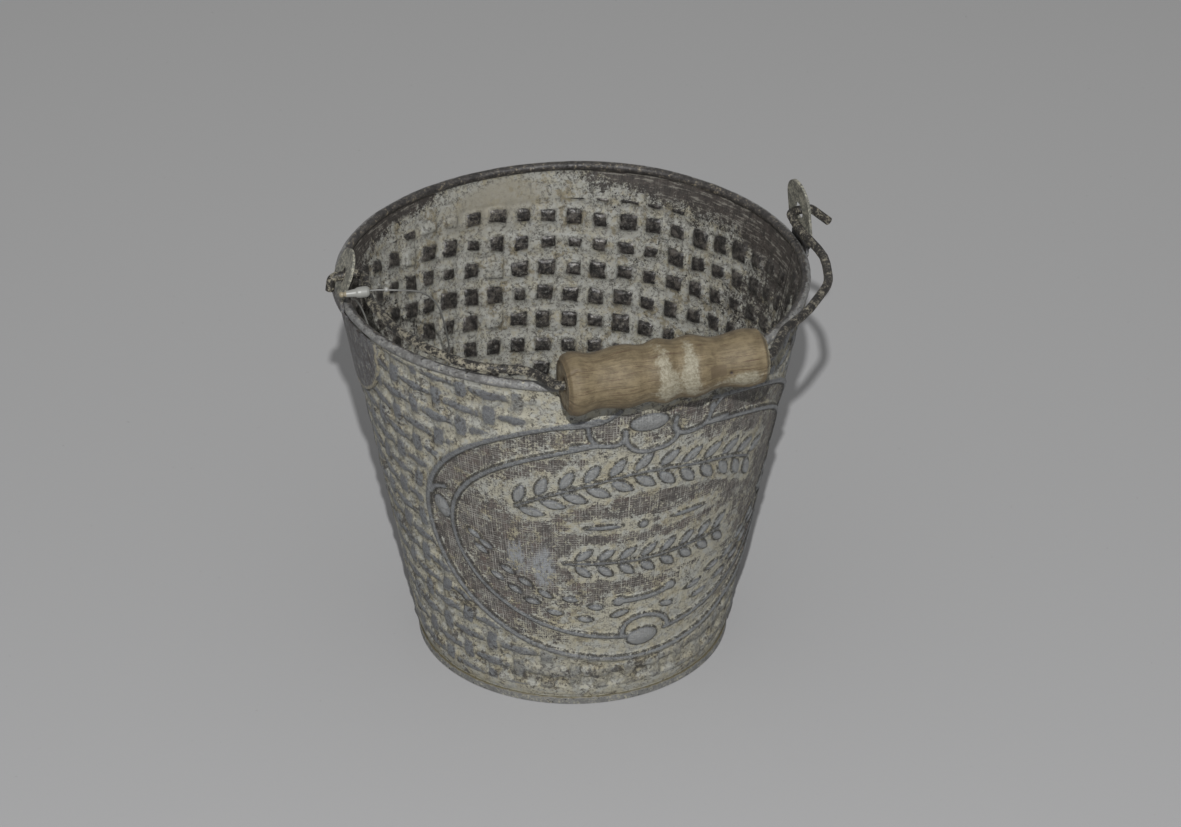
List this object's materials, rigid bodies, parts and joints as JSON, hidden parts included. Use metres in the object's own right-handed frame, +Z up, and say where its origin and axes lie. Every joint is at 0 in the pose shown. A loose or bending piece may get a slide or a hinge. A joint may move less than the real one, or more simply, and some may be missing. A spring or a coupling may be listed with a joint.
{
  "type": "bucket",
  "caption": "Small tapered weathered metal bucket with a rolled rim, crimped foot, bent stamped ears and a swinging wire bail with a turned wooden grip.",
  "frame": {"origin": "on the bucket's own axis, in the plane of the foot that it stands on", "axes": "+Z up along the bucket's axis; the bail's hinge and both ears lie along X, the taller ear at +X; the bail rests on the rim towards -Y"},
  "size_m": [0.1752, 0.1776, 0.1626],
  "materials": {
    "wall": "weathered zinc sheet with a cream wash in the hollows, dark rust-brown rubbing and dull blue-grey high edges",
    "base": "dull dark zinc sheet with an olive-brown line above the crimp",
    "ear": "worn blue-grey zinc with cream paint left round the edges",
    "wire": "dark brown-black iron wire with scuffs and cream specks",
    "grip": "pale dry turned wood, stained, cracked at one end, with worn cream paint in the middle grooves",
    "nylon": "cloudy translucent nylon"
  },
  "bodies": {
    "bucket": {"wall_front": "wall", "wall_back": "wall", "base": "base", "ear_left": "ear", "ear_right": "ear"},
    "bail": {"bail_wire": "wire", "tag_loop": "nylon", "tag_lock": "nylon"},
    "grip": {"grip": "grip"}
  },
  "joints": [
    {"name": "bail_swing", "type": "hinge", "parent": "bucket", "child": "bail", "pos_m": [0, 0, 0.14948], "axis": [-0.9997, 0, -0.0254], "range_deg": [0, 176.5]},
    {"name": "grip_spin", "type": "hinge", "parent": "bail", "child": "grip", "pos_m": [0.00681, -0.08707, 0.14737], "axis": [0.9997, 0, 0.0254], "continuous": true}
  ]
}
